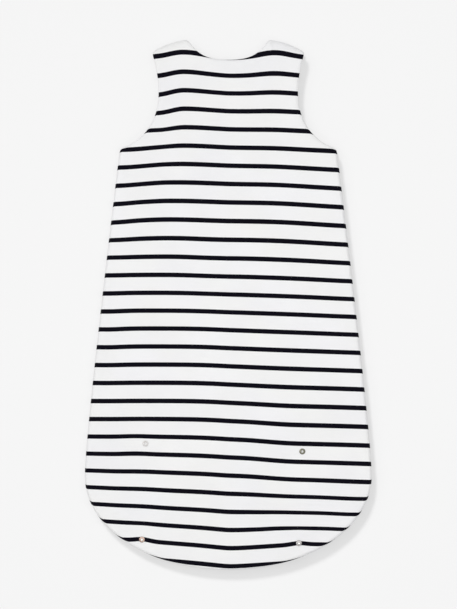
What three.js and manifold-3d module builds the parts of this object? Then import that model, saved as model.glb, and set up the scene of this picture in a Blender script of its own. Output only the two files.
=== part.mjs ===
// A sleeveless baby sleeping bag that lies flat on its front, with its back up and its neck towards +Y.
// Millimetres, +Z up, +X to the right of someone who looks down at the back. The origin is the centre of the
// bag's outline, on the surface that it lies on.
//
// The bag is two padded layers, a back and a front in two halves, joined by seams at the sides, the foot and
// the shoulders, and open at the neck and the armholes. A centre zip opens the front. The foot end folds up
// over the back, where its two snap studs press into two snap sockets, which shortens the bag.
import * as THREE from "three";
import { mergeVertices } from "three/addons/utils/BufferGeometryUtils.js";
import Module from "manifold-3d";

const wasm = await Module();
wasm.setup();

// ---- Driving dimensions ----

// Outline, as half widths and distances up from the outline's centre.
const LENGTH = 850;
const TOP_Y = LENGTH / 2;
const FOOT_HALF = 230; // the widest place, where the rounded foot begins
const FOOT_DEPTH = 150; // how far the rounded foot reaches down from there
const FOOT_Y = FOOT_DEPTH - LENGTH / 2;
const UNDERARM = [174, 249];
const SHOULDER_TIP = [122.5, 405];
const NECK_TIP = [65, TOP_Y];
const BACK_NECK_Y = 392;
const FRONT_NECK_Y = 350;

// Thickness of one padded layer, from its outer face inwards.
const SHELL = 1.2;
const WADDING = 5.6;
const LINING = 0.8;
const GAP = 0.3; // between pieces that touch
const LAYER = SHELL + WADDING + LINING + 2 * GAP;
const CAVITY = 9; // between the two linings
const BACK_INNER_Z = LAYER + CAVITY;
const TOP_Z = BACK_INNER_Z + LAYER;

// The cross section rolls over at its edge: inset of the outline at each depth below the outer face.
const ROLL = [
  { depth: 0, inset: 7 },
  { depth: 2, inset: 2.5 },
  { depth: 5, inset: 0 },
];
const SEAM_ALLOWANCE = 9;

// The foot folds up about a line that lies a little askew, halfway between the two rows of snaps.
const FOLD_Y = -303.5;
const FOLD_SKEW = THREE.MathUtils.degToRad(-2.1);
const SNAP_ALONG_FOLD = { left: -135.4, right: 115.6 };
const SNAP_FROM_FOLD = { left: 76.8, right: 73.3 };
const SNAP_RADIUS = 4.75;
const SNAP_SEGMENTS = 20;
const PATCH = { radius: 7, thickness: 0.6 };
const PRONG_RING = { inner: 2.6, outer: SNAP_RADIUS, thickness: 0.8 };

// The zip lies in a channel between the front halves, so that neither it nor its slider reaches the floor.
const CHANNEL_HALF = 6;
const CHANNEL_END_Y = -290;
const CHANNEL_WALL_TOP = 4.6;
const TAPE = { inner: 3.3, outer: 15, z: 5, thickness: 0.6, top: 347, bottom: -285 };
const TEETH = { inner: 0.7, outer: 3, z: 4.1, height: 2.4, top: 340.5, bottom: -262 };
const STOP = { length: 3, z: 3.9, height: 2.8 };
const SLIDER = { y: 333, length: 11, half: 4.4, post: 0.4, outerZ: 2.7, innerZ: 7.1, plate: 0.8, flange: 1.2 };
const BRIDGE = { half: 0.8, reach: 3.8, post: 1.2, z: 1, thickness: 0.6 };
const PULL = { length: 24, half: 2.7, holeHalf: 1.2, holeLength: 5.5, bar: 0.3, z: 2.15, thickness: 0.7 };
const UNDERLAP = { half: 26, thickness: 0.6, top: 360, bottom: -296 };

const CARE_LABEL = { x: -180, y: -90, width: 38, length: 60, thickness: 0.4 };
const NECK_LABEL = { y: 376, width: 32, length: 18, thickness: 0.4 };

// Larger than the bag in every direction, for the boxes that cut it.
const FAR = 600;

// ---- Materials ----

const cloth = (color) => new THREE.MeshStandardMaterial({ color, roughness: 0.95, metalness: 0 });
const material = {
  shell: cloth(0xeeeeee),
  wadding: cloth(0xf6f6f2),
  lining: cloth(0xf4f4f4),
  seam: cloth(0xe9e9e9),
  tape: cloth(0xefefef),
  label: cloth(0xfafafa),
  teeth: new THREE.MeshStandardMaterial({ color: 0xf2f2f2, roughness: 0.4, metalness: 0 }),
  slider: new THREE.MeshStandardMaterial({ color: 0xededed, roughness: 0.35, metalness: 0.2 }),
  snap: new THREE.MeshStandardMaterial({ color: 0xb9b4a8, roughness: 0.3, metalness: 1 }),
};

// ---- Solids ----

// A manifold-3d solid from a three.js geometry.
function solid(geometry) {
  const bare = geometry.clone();
  bare.deleteAttribute("normal");
  bare.deleteAttribute("uv");
  const merged = mergeVertices(bare, 1e-4);
  return new wasm.Manifold(
    new wasm.Mesh({
      numProp: 3,
      vertProperties: new Float32Array(merged.attributes.position.array),
      triVerts: new Uint32Array(merged.index.array),
    }),
  );
}

// A named three.js mesh from a manifold-3d solid.
function node(name, made, finish) {
  const { vertProperties, triVerts } = made.getMesh();
  const geometry = new THREE.BufferGeometry();
  geometry.setAttribute("position", new THREE.BufferAttribute(vertProperties, 3));
  geometry.setIndex(new THREE.BufferAttribute(triVerts, 1));
  geometry.computeVertexNormals();
  const mesh = new THREE.Mesh(geometry, finish);
  mesh.name = name;
  return mesh;
}

// A box from its lowest to its highest corner.
function box([x0, y0, z0], [x1, y1, z1]) {
  const geometry = new THREE.BoxGeometry(x1 - x0, y1 - y0, z1 - z0);
  geometry.translate((x0 + x1) / 2, (y0 + y1) / 2, (z0 + z1) / 2);
  return solid(geometry);
}

// A flat plate of the outline between two heights.
function plate(outline, z0, z1) {
  const shape = new THREE.Shape(outline);
  const geometry = new THREE.ExtrudeGeometry(shape, { depth: z1 - z0, bevelEnabled: false });
  geometry.translate(0, 0, z0);
  return solid(geometry);
}

// A round piece, turned about Z, from a profile of [radius, height] points.
function turned(profile, [x, y, z]) {
  const points = profile.map(([radius, height]) => new THREE.Vector2(radius, height));
  const geometry = new THREE.LatheGeometry(points, SNAP_SEGMENTS);
  geometry.rotateX(Math.PI / 2);
  geometry.translate(x, y, z);
  return solid(geometry);
}

const disc = (radius, height) => [[0, 0], [radius, 0], [radius, height], [0, height]];

// A closed solid through outlines of the same number of points, each at its own height, capped at both ends.
function loft(sections) {
  const count = sections[0].outline.length;
  const positions = sections.flatMap(({ outline, z }) => outline.flatMap((p) => [p.x, p.y, z]));
  const faces = [];
  for (let s = 0; s + 1 < sections.length; s++) {
    for (let i = 0; i < count; i++) {
      const a = s * count + i;
      const b = s * count + ((i + 1) % count);
      faces.push(a, b, b + count, a, b + count, a + count);
    }
  }
  const cap = (outline) => THREE.ShapeUtils.triangulateShape(outline, []);
  const last = (sections.length - 1) * count;
  for (const [a, b, c] of cap(sections[0].outline)) faces.push(c, b, a);
  for (const [a, b, c] of cap(sections.at(-1).outline)) faces.push(last + a, last + b, last + c);
  const geometry = new THREE.BufferGeometry();
  geometry.setAttribute("position", new THREE.Float32BufferAttribute(positions, 3));
  geometry.setIndex(faces);
  return solid(geometry);
}

// ---- Outlines ----

const point = ([x, y]) => new THREE.Vector2(x, y);

// The right-hand side of an outline, anticlockwise from the foot's lowest point to the middle of the neck.
function halfOutline(neckY, neckShoulder, neckBase) {
  const foot = new THREE.EllipseCurve(0, FOOT_Y, FOOT_HALF, FOOT_DEPTH, -Math.PI / 2, 0, false);
  const side = new THREE.QuadraticBezierCurve(
    point([FOOT_HALF, FOOT_Y]),
    point([FOOT_HALF, FOOT_Y + 63]),
    point(UNDERARM),
  );
  const armhole = new THREE.CubicBezierCurve(point(UNDERARM), point([119, 268]), point([96, 319]), point(SHOULDER_TIP));
  const shoulder = new THREE.QuadraticBezierCurve(point(SHOULDER_TIP), point([93, TOP_Y - 2]), point(NECK_TIP));
  const neck = new THREE.CubicBezierCurve(point(NECK_TIP), point(neckShoulder), point(neckBase), point([0, neckY]));
  const runs = [foot.getPoints(10), side.getPoints(7), armhole.getPoints(7), shoulder.getPoints(3), neck.getPoints(6)];
  const points = [];
  for (const run of runs) {
    for (const p of run) {
      if (!points.length || p.distanceTo(points.at(-1)) > 0.5) points.push(p);
    }
  }
  return points;
}

function mirrored(half) {
  const left = half.slice(1, -1).reverse();
  return [...half, ...left.map((p) => new THREE.Vector2(-p.x, p.y))];
}

const BACK_OUTLINE = mirrored(halfOutline(BACK_NECK_Y, [50, 399], [32, BACK_NECK_Y]));
const FRONT_OUTLINE = mirrored(halfOutline(FRONT_NECK_Y, [56, 376], [36, FRONT_NECK_Y]));

// The outline moved inwards by a distance, point by point.
function inset(outline, distance) {
  return outline.map((p, i) => {
    const before = p.clone().sub(outline.at(i - 1)).normalize();
    const after = outline[(i + 1) % outline.length].clone().sub(p).normalize();
    const normal = new THREE.Vector2(-before.y, before.x);
    const miter = normal.clone().add(new THREE.Vector2(-after.y, after.x)).normalize();
    return p.clone().addScaledVector(miter, distance / Math.max(0.5, miter.dot(normal)));
  });
}

// ---- The two padded layers ----

// Each layer is measured in depth from its outer face. The back's outer face is on top, the front's below.
const BACK = { outline: BACK_OUTLINE, height: (depth) => TOP_Z - depth };
const FRONT = { outline: FRONT_OUTLINE, height: (depth) => depth };

// Sections in depth, turned the right way round for loft, which wants them from low to high.
function layerLoft(layer, steps) {
  const sections = steps.map(({ depth, inset: by }) => ({
    outline: inset(layer.outline, by),
    z: layer.height(depth),
  }));
  return loft(layer === BACK ? sections : sections.reverse());
}

// A shell is a shallow tray: its floor is the layer's outer face, and its rim turns in to the lining.
function shellOf(layer) {
  const inside = ROLL.map(({ depth, inset: by }) => ({
    depth: Math.max(depth + SHELL / 2, SHELL),
    inset: by + SHELL,
  }));
  const rim = [
    { depth: LAYER, inset: SHELL },
    { depth: LAYER, inset: 0 },
  ];
  return layerLoft(layer, [...inside, ...rim, ...ROLL.toReversed()]);
}

// Wadding fills the tray, under the lining.
function waddingOf(layer) {
  const floor = SHELL + GAP;
  const steps = ROLL.map(({ depth, inset: by }) => ({ depth: depth + floor, inset: by + SHELL + 2 * GAP }));
  const top = { depth: floor + WADDING, inset: SHELL + 2 * GAP };
  return layerLoft(layer, [top, ...steps.toReversed()]);
}

function liningOf(layer) {
  const edge = SHELL + 2 * GAP;
  return layerLoft(layer, [
    { depth: LAYER, inset: edge },
    { depth: LAYER - LINING, inset: edge },
  ]);
}

// ---- Cuts ----

// The half of space on one side of the fold line: above is the body of the bag, below is its foot.
function beyondFold(side) {
  const depth = side === "above" ? [GAP / 2, FAR * 2] : [-FAR * 2, -GAP / 2];
  const geometry = new THREE.BoxGeometry(FAR * 2, depth[1] - depth[0], FAR);
  geometry.translate(0, (depth[0] + depth[1]) / 2, 0);
  geometry.rotateZ(FOLD_SKEW);
  geometry.translate(0, FOLD_Y, 0);
  return solid(geometry);
}

const BODY_SIDE = beyondFold("above");
const FOOT_SIDE = beyondFold("below");
const LEFT_HALF = box([-FAR, -FAR, -FAR], [-GAP / 2, FAR, FAR]);
const RIGHT_HALF = box([GAP / 2, -FAR, -FAR], [FAR, FAR, FAR]);
const HALVES = { left: LEFT_HALF, right: RIGHT_HALF };

// A slot along the middle of the front, from the neck down to a given end.
const slot = (half, end) => box([-half, end, -FAR], [half, FAR, FAR]);

// A point on the back, from its distance along the fold line and up from it.
function fromFold(along, up) {
  const p = new THREE.Vector2(along, up).rotateAround(new THREE.Vector2(), FOLD_SKEW);
  return [p.x, p.y + FOLD_Y];
}

const SNAPS = [];
for (const side of ["left", "right"]) {
  SNAPS.push({ kind: "socket", side, at: fromFold(SNAP_ALONG_FOLD[side], SNAP_FROM_FOLD[side]) });
  SNAPS.push({ kind: "stud", side, at: fromFold(SNAP_ALONG_FOLD[side], -SNAP_FROM_FOLD[side]) });
}

// Room in the back's wadding for each snap's patch and prong ring.
function snapPocket([x, y]) {
  const depth = SHELL + PATCH.thickness + PRONG_RING.thickness + 4 * GAP;
  return turned(disc(PATCH.radius + GAP, depth), [x, y, TOP_Z - depth]);
}

// ---- Back ----

function backNodes() {
  const shell = shellOf(BACK);
  const lining = liningOf(BACK);
  let wadding = waddingOf(BACK);
  for (const { at } of SNAPS) wadding = wadding.subtract(snapPocket(at));
  return [
    node("back_shell", shell.intersect(BODY_SIDE), material.shell),
    node("back_shell_foot", shell.intersect(FOOT_SIDE), material.shell),
    node("back_wadding", wadding.intersect(BODY_SIDE), material.wadding),
    node("back_wadding_foot", wadding.intersect(FOOT_SIDE), material.wadding),
    node("back_lining", lining.intersect(BODY_SIDE), material.lining),
    node("back_lining_foot", lining.intersect(FOOT_SIDE), material.lining),
  ];
}

// ---- Front, in two halves ----

// The edge of each front shell turns up on both sides and at the foot end of the zip's channel.
function channelWall() {
  const top = FRONT_NECK_Y - 1;
  const outside = box(
    [-CHANNEL_HALF - SHELL, CHANNEL_END_Y - SHELL, 0],
    [CHANNEL_HALF + SHELL, top, CHANNEL_WALL_TOP],
  );
  return outside.subtract(slot(CHANNEL_HALF, CHANNEL_END_Y));
}

function frontNodes() {
  const shell = shellOf(FRONT).subtract(slot(CHANNEL_HALF, CHANNEL_END_Y)).add(channelWall());
  const wadding = waddingOf(FRONT).subtract(slot(TAPE.outer + 2 * GAP, CHANNEL_END_Y - 3));
  const lining = liningOf(FRONT).subtract(slot(TAPE.outer + 5, CHANNEL_END_Y - 3));
  const made = [
    node("front_wadding_foot", wadding.intersect(FOOT_SIDE), material.wadding),
    node("front_lining_foot", lining.intersect(FOOT_SIDE), material.lining),
  ];
  for (const [side, half] of Object.entries(HALVES)) {
    const body = half.intersect(BODY_SIDE);
    const foot = half.intersect(FOOT_SIDE);
    made.push(node(`front_shell_${side}`, shell.intersect(body), material.shell));
    made.push(node(`front_shell_foot_${side}`, shell.intersect(foot), material.shell));
    made.push(node(`front_wadding_${side}`, wadding.intersect(body), material.wadding));
    made.push(node(`front_lining_${side}`, lining.intersect(body), material.lining));
  }
  return made;
}

// ---- Seam allowances, which join the back to the front between the two linings ----

function seamNodes() {
  const low = LAYER + GAP;
  const high = BACK_INNER_Z - GAP;
  const ring = plate(inset(BACK_OUTLINE, GAP), low, high).subtract(
    plate(inset(BACK_OUTLINE, SEAM_ALLOWANCE), low - 1, high + 1),
  );
  const made = [node("foot_seam", ring.intersect(FOOT_SIDE), material.seam)];
  for (const [side, half] of Object.entries(HALVES)) {
    const sign = side === "left" ? -1 : 1;
    const [from, to] = [sign * (NECK_TIP[0] + 6), sign * (SHOULDER_TIP[0] - 3)].sort((a, b) => a - b);
    const below = box([-FAR, -FAR, -FAR], [FAR, UNDERARM[1] - 3, FAR]);
    const strap = box([from, SHOULDER_TIP[1] - 10, -FAR], [to, FAR, FAR]);
    made.push(node(`side_seam_${side}`, ring.intersect(half).intersect(BODY_SIDE).intersect(below), material.seam));
    made.push(node(`shoulder_seam_${side}`, ring.intersect(strap), material.seam));
  }
  return made;
}

// ---- Zip ----

// The same box on the left or the right of the middle.
function sided(side, [x0, y0, z0], [x1, y1, z1]) {
  return side === "left" ? box([-x1, y0, z0], [-x0, y1, z1]) : box([x0, y0, z0], [x1, y1, z1]);
}

function zipNodes() {
  const made = [];
  const stopTop = STOP.z + STOP.height;
  for (const side of ["left", "right"]) {
    const tape = sided(
      side,
      [TAPE.inner, TAPE.bottom, TAPE.z],
      [TAPE.outer, TAPE.top, TAPE.z + TAPE.thickness],
    );
    const teeth = sided(
      side,
      [TEETH.inner, TEETH.bottom, TEETH.z],
      [TEETH.outer, TEETH.top, TEETH.z + TEETH.height],
    );
    const stop = sided(
      side,
      [TEETH.inner, TEETH.top + GAP, STOP.z],
      [TEETH.outer, TEETH.top + GAP + STOP.length, stopTop],
    );
    made.push(node(`zip_tape_${side}`, tape, material.tape));
    made.push(node(`zip_teeth_${side}`, teeth, material.teeth));
    made.push(node(`zip_top_stop_${side}`, stop, material.slider));
  }
  const bottomStop = box(
    [-TEETH.outer, TEETH.bottom - GAP - STOP.length, STOP.z],
    [TEETH.outer, TEETH.bottom - GAP, stopTop],
  );
  made.push(node("zip_bottom_stop", bottomStop, material.slider));
  made.push(node("zip_slider", slider(), material.slider));
  made.push(node("zip_pull_tab", pullTab(), material.slider));
  made.push(node("zip_underlap", underlap(), material.lining));
  return made;
}

// Two plates joined by a thin post, with flanges that close round the teeth and a bridge for the pull tab.
function slider() {
  const y0 = SLIDER.y - SLIDER.length / 2;
  const y1 = SLIDER.y + SLIDER.length / 2;
  const innerTop = SLIDER.innerZ + SLIDER.plate;
  const outerTop = SLIDER.outerZ + SLIDER.plate;
  let made = plate(sliderOutline(), SLIDER.outerZ, outerTop);
  made = made.add(plate(sliderOutline(), SLIDER.innerZ, innerTop));
  made = made.add(box([-SLIDER.post, SLIDER.y, SLIDER.outerZ], [SLIDER.post, y1 - 1, innerTop]));
  for (const side of ["left", "right"]) {
    const inner = SLIDER.half - 1;
    made = made.add(sided(side, [inner, y0, SLIDER.outerZ], [SLIDER.half, SLIDER.y + 2, outerTop + SLIDER.flange]));
    made = made.add(sided(side, [inner, y0, SLIDER.innerZ - SLIDER.flange], [SLIDER.half, SLIDER.y + 2, innerTop]));
  }
  const bridge = box(
    [-BRIDGE.half, SLIDER.y - BRIDGE.reach, BRIDGE.z],
    [BRIDGE.half, SLIDER.y + BRIDGE.reach, SLIDER.outerZ + 0.1],
  );
  const opening = BRIDGE.reach - BRIDGE.post;
  const window = box(
    [-FAR, SLIDER.y - opening, BRIDGE.z + BRIDGE.thickness],
    [FAR, SLIDER.y + opening, SLIDER.outerZ],
  );
  return made.add(bridge.subtract(window));
}

// Square at its foot end, with its two shoulders cut back at the neck end.
function sliderOutline() {
  const y0 = SLIDER.y - SLIDER.length / 2;
  const y1 = SLIDER.y + SLIDER.length / 2;
  const right = [
    [SLIDER.half, y0],
    [SLIDER.half, SLIDER.y + 2.5],
    [SLIDER.half - 1.5, y1],
  ];
  const left = right.map(([x, y]) => [-x, y]).reverse();
  return [...right, ...left].map(point);
}

// A flat tab whose crossbar turns in the slider's bridge.
function pullTab() {
  const pivot = SLIDER.y;
  const bevel = 1.5;
  const end = pivot - PULL.length;
  const right = [
    [PULL.half - bevel, end],
    [PULL.half, end + bevel],
    [PULL.half, pivot + PULL.bar],
  ];
  const left = right.map(([x, y]) => [-x, y]).reverse();
  const z0 = PULL.z - PULL.thickness / 2;
  const z1 = PULL.z + PULL.thickness / 2;
  const tab = plate([...right, ...left].map(point), z0, z1);
  const hole = box([-PULL.holeHalf, pivot - PULL.holeLength, z0 - 1], [PULL.holeHalf, pivot - PULL.bar, z1 + 1]);
  return tab.subtract(hole);
}

// A strip inside the bag that keeps the zip off the skin. Its rounded top stands up past the neck as a chin guard.
function underlap() {
  const z0 = LAYER + GAP;
  const corner = 10;
  const right = new THREE.EllipseCurve(
    UNDERLAP.half - corner, UNDERLAP.top - corner, corner, corner, 0, Math.PI / 2, false,
  ).getPoints(4);
  const left = right.map((p) => new THREE.Vector2(-p.x, p.y)).reverse();
  const foot = [point([-UNDERLAP.half, UNDERLAP.bottom]), point([UNDERLAP.half, UNDERLAP.bottom])];
  return plate([...right, ...left, ...foot], z0, z0 + UNDERLAP.thickness);
}

// ---- Snaps, each with a patch and a prong ring behind the back shell ----

const SOCKET_PROFILE = [
  [2, 0],
  [4.3, 0],
  [SNAP_RADIUS, 0.4],
  [SNAP_RADIUS, 0.8],
  [3.5, 1.8],
  [2.7, 1.8],
  [2, 1.3],
  [2, 0],
];
const STUD_PROFILE = [
  [0, 0],
  [4.3, 0],
  [SNAP_RADIUS, 0.3],
  [SNAP_RADIUS, 0.6],
  [4.2, 0.9],
  [1.5, 0.9],
  [1.5, 1.6],
  [1.75, 2.1],
  [1.4, 2.6],
  [0, 2.6],
];

function snapNodes() {
  const made = [];
  const { inner, outer, thickness } = PRONG_RING;
  const ring = [[inner, 0], [outer, 0], [outer, thickness], [inner, thickness], [inner, 0]];
  for (const { kind, side, at: [x, y] } of SNAPS) {
    const profile = kind === "socket" ? SOCKET_PROFILE : STUD_PROFILE;
    const patchLow = TOP_Z - SHELL - GAP - PATCH.thickness;
    const patch = turned(disc(PATCH.radius, PATCH.thickness), [x, y, patchLow]);
    made.push(node(`snap_${kind}_${side}`, turned(profile, [x, y, TOP_Z + GAP]), material.snap));
    made.push(node(`${kind}_patch_${side}`, patch, material.seam));
    made.push(node(`${kind}_prong_ring_${side}`, turned(ring, [x, y, patchLow - GAP - thickness]), material.snap));
  }
  return made;
}

// ---- Labels, both blank ----

function labelNodes() {
  const careZ = LAYER + GAP;
  const neckZ = BACK_INNER_Z - GAP - NECK_LABEL.thickness;
  const care = box(
    [CARE_LABEL.x - CARE_LABEL.width / 2, CARE_LABEL.y - CARE_LABEL.length / 2, careZ],
    [CARE_LABEL.x + CARE_LABEL.width / 2, CARE_LABEL.y + CARE_LABEL.length / 2, careZ + CARE_LABEL.thickness],
  );
  const neck = box(
    [-NECK_LABEL.width / 2, NECK_LABEL.y - NECK_LABEL.length / 2, neckZ],
    [NECK_LABEL.width / 2, NECK_LABEL.y + NECK_LABEL.length / 2, neckZ + NECK_LABEL.thickness],
  );
  return [node("care_label", care, material.label), node("neck_label", neck, material.label)];
}

const bag = new THREE.Group();
bag.add(...backNodes(), ...frontNodes(), ...seamNodes(), ...zipNodes(), ...snapNodes(), ...labelNodes());

export default bag;
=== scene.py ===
"""A sleeveless striped baby sleeping bag, lying flat on its front, seen from straight above its back.

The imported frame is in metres. Shapes here are worked out in millimetres and scaled when their mesh is made.
"""

import math

import bpy
import numpy as np
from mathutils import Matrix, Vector, geometry
from mathutils.kdtree import KDTree


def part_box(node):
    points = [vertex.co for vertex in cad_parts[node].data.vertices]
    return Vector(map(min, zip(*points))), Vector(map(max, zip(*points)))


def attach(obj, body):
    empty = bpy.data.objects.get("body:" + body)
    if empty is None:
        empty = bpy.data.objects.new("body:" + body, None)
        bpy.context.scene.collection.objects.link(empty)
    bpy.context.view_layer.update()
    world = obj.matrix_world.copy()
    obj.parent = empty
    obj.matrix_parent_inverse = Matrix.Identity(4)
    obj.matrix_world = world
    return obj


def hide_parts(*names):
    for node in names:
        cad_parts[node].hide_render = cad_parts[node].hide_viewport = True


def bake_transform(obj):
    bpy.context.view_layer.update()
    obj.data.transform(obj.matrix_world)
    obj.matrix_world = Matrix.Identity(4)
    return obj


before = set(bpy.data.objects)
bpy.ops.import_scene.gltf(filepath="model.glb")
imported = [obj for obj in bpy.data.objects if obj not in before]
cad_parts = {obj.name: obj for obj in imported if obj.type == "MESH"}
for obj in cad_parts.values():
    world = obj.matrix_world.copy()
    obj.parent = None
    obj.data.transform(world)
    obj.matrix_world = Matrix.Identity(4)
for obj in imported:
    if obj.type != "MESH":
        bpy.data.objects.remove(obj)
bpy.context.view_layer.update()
MM = 0.001
SIDES = (("left", -1), ("right", 1))
TURN = 2 * math.pi


def link(thing):
    bpy.context.collection.objects.link(thing)
    return thing


def box(name):
    """The lowest and the highest corner of one of the frame's nodes, in mm."""
    return [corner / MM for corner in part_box(name)]


# ---- The bag's measures, in mm, as its frame has them ----

LENGTH = 850
TOP_Y = LENGTH / 2
FOOT_HALF = 230
FOOT_DEPTH = 150
FOOT_Y = FOOT_DEPTH - LENGTH / 2
UNDERARM = (174, 249)
SHOULDER_TIP = (122.5, 405)
NECK_TIP = (65, TOP_Y)
BACK_NECK = ((50, 399), (32, 392), (0, 392))
FRONT_NECK = ((56, 376), (36, 350), (0, 350))

TOP_Z = 25.4  # the back's outer face; the front's is at 0
MIDDLE_Z = TOP_Z / 2
SHELL = 0.9
GAP = 0.3
LAYER = 8.2  # from a layer's outer face to its lining's inner face
LINING = 0.7

FOLD_Y = -303.5
FOLD_SKEW = math.radians(-2.1)
FOLD_BAND = 17  # how far from the fold line the cloth bends

CHANNEL_HALF = 6
CHANNEL_END_Y = -290

SETTLE_SPACING = 8.5
SETTLE_SURPLUS = 0.0018  # how much longer the back's cloth is than its pad, as a share
SETTLE_FRAMES = 24
SETTLE_SHARE = 0.32  # of the settled cloth's rise that is left once the wadding under it is pressed

# ---- Camera, floor and light ----


def make_camera():
    """Straight above the middle of the bag, with the neck at the top of the picture."""
    distance = 4.2
    view_height = 0.9765  # the picture's height, at the height of the bag's seam
    data = bpy.data.cameras.new("camera")
    data.sensor_width = 36
    data.lens = data.sensor_width * distance / view_height
    data.clip_end = 50
    camera = link(bpy.data.objects.new("camera", data))
    camera.location = (0.0003, 0.0004, MIDDLE_Z * MM + distance)
    bpy.context.scene.camera = camera


def make_light(floor):
    """Even light from all round, a wide lamp above, a weak one from the upper left, and one for the shadow."""
    world = bpy.data.worlds.new("studio")
    world.use_nodes = True
    background = world.node_tree.nodes["Background"]
    background.inputs["Color"].default_value = (1, 1, 1, 1)
    background.inputs["Strength"].default_value = 0.555
    bpy.context.scene.world = world

    wide = bpy.data.lights.new("overhead", "AREA")
    wide.shape = "DISK"
    wide.size = 1.6
    wide.energy = 13.4
    overhead = link(bpy.data.objects.new("overhead", wide))
    overhead.location = (0, 0, 1.7)
    overhead.visible_camera = False

    for name, strength, spread, towards in (
        ("side", 0.45, 25, (-0.8, 0.4, 1.0)),
        ("shadow", 3.8, 10, (-0.43, 0.85, 1.0)),
    ):
        sun = bpy.data.lights.new(name, "SUN")
        sun.energy = strength
        sun.angle = math.radians(spread)
        lamp = link(bpy.data.objects.new(name, sun))
        lamp.rotation_mode = "QUATERNION"
        lamp.rotation_quaternion = Vector(towards).to_track_quat("Z", "Y")
    # The last one lights the floor alone, so that the bag's shadow doesn't darken its own edges.
    lit = bpy.data.collections.new("lit_by_shadow_lamp")
    lit.objects.link(floor)
    lamp.light_linking.receiver_collection = lit
    bpy.context.scene.view_settings.view_transform = "Standard"


def make_floor():
    corners = [(4 * x, 4 * y, 0) for x, y in ((-1, -1), (1, -1), (1, 1), (-1, 1))]
    mesh = bpy.data.meshes.new("floor")
    mesh.from_pydata(corners, [], [(0, 1, 2, 3)])
    floor = link(bpy.data.objects.new("floor", mesh))
    floor.location.z = -0.0008
    floor.data.materials.append(glowing_paper())
    return floor


# ---- Materials ----


class Nodes:
    """Short calls for building a material's nodes."""

    def __init__(self, name):
        self.material = bpy.data.materials.new(name)
        self.material.use_nodes = True
        self.tree = self.material.node_tree
        self.shader = self.tree.nodes["Principled BSDF"]

    def new(self, kind, **settings):
        made = self.tree.nodes.new(kind)
        for name, value in settings.items():
            setattr(made, name, value)
        return made

    def feed(self, socket, value):
        if hasattr(value, "is_output"):
            self.tree.links.new(value, socket)
        else:
            socket.default_value = value

    def math(self, operation, a, b=0.0):
        made = self.new("ShaderNodeMath", operation=operation)
        self.feed(made.inputs[0], a)
        self.feed(made.inputs[1], b)
        return made.outputs[0]

    def times(self, a, b):
        return self.math("MULTIPLY", a, b)

    def attribute(self, name, output):
        return self.new("ShaderNodeAttribute", attribute_name=name).outputs[output]

    def place(self):
        """Where on its piece a point lies."""
        return self.new("ShaderNodeTexCoord").outputs["Object"]

    def split(self, vector):
        made = self.new("ShaderNodeSeparateXYZ")
        self.feed(made.inputs[0], vector)
        return made.outputs

    def noise(self, vector, scale, detail=2.0, roughness=0.5):
        made = self.new("ShaderNodeTexNoise")
        self.feed(made.inputs["Vector"], vector)
        made.inputs["Scale"].default_value = scale
        made.inputs["Detail"].default_value = detail
        made.inputs["Roughness"].default_value = roughness
        return made.outputs["Fac"]

    def remap(self, value, low, high, to_low, to_high):
        made = self.new("ShaderNodeMapRange", interpolation_type="SMOOTHSTEP")
        for socket, number in zip(made.inputs, (value, low, high, to_low, to_high)):
            self.feed(socket, number)
        return made.outputs[0]

    def uneven(self, place, scale, detail, low, high):
        """A soft variation between two factors."""
        return self.remap(self.noise(place, scale, detail), 0.3, 0.7, low, high)

    def mix(self, factor, a, b):
        made = self.new("ShaderNodeMix", data_type="RGBA")
        self.feed(made.inputs["Factor"], factor)
        for socket, value in ((made.inputs["A"], a), (made.inputs["B"], b)):
            self.feed(socket, value if hasattr(value, "is_output") else (*value, 1))
        return made.outputs["Result"]

    def brighten(self, color, factor):
        """The colour times a factor."""
        made = self.new("ShaderNodeVectorMath", operation="SCALE")
        self.feed(made.inputs[0], color)
        self.feed(made.inputs["Scale"], factor)
        return made.outputs[0]

    def bump(self, height, distance, strength=1.0):
        made = self.new("ShaderNodeBump")
        self.feed(made.inputs["Height"], height)
        made.inputs["Distance"].default_value = distance
        made.inputs["Strength"].default_value = strength
        self.feed(self.shader.inputs["Normal"], made.outputs[0])

    def finish(self, color, roughness, metallic=0.0, sheen=0.0, coat=0.0, specular=0.5):
        self.feed(self.shader.inputs["Base Color"], color if hasattr(color, "is_output") else (*color, 1))
        self.feed(self.shader.inputs["Roughness"], roughness)
        self.shader.inputs["Metallic"].default_value = metallic
        self.shader.inputs["Sheen Weight"].default_value = sheen
        self.shader.inputs["Specular IOR Level"].default_value = specular
        self.shader.inputs["Sheen Roughness"].default_value = 0.6
        self.shader.inputs["Coat Weight"].default_value = coat
        return self.material


def glowing_paper():
    """The studio's white floor, lit from below as well, so that it stays bright beside the bag."""
    n = Nodes("floor_paper")
    n.shader.inputs["Emission Color"].default_value = (1, 1, 1, 1)
    n.shader.inputs["Emission Strength"].default_value = 0.58
    return n.finish((0.18, 0.18, 0.18), 1.0, specular=0.0)


WALE = 0.9 * MM  # width of one column of knit stitches
COURSE = 0.62 * MM  # height of one row of them
STRIPE_PITCH = 29.1
STRIPE_WIDTH = 7.45
FIRST_STRIPE_Y = 367.6
COOL_WHITE = (0.854, 0.854, 0.866)
WARM_WHITE = (0.858, 0.858, 0.853)
NAVY = (0.0026, 0.0021, 0.0060)


def knit_height(n):
    """Rows of small V stitches, in the cloth's own coordinates."""
    x, y, _ = n.split(n.attribute("cloth", "Vector"))
    across = n.times(x, 1 / WALE)
    side = n.math("PINGPONG", across, 0.5)
    row = n.math("ADD", n.times(y, 1 / COURSE), n.times(side, 1.1))
    loops = n.math("PINGPONG", row, 0.5)
    ribs = n.math("SINE", n.times(side, TURN))
    return n.times(n.math("ADD", loops, 0.35), n.math("ADD", n.math("ABSOLUTE", ribs), 0.4))


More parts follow.
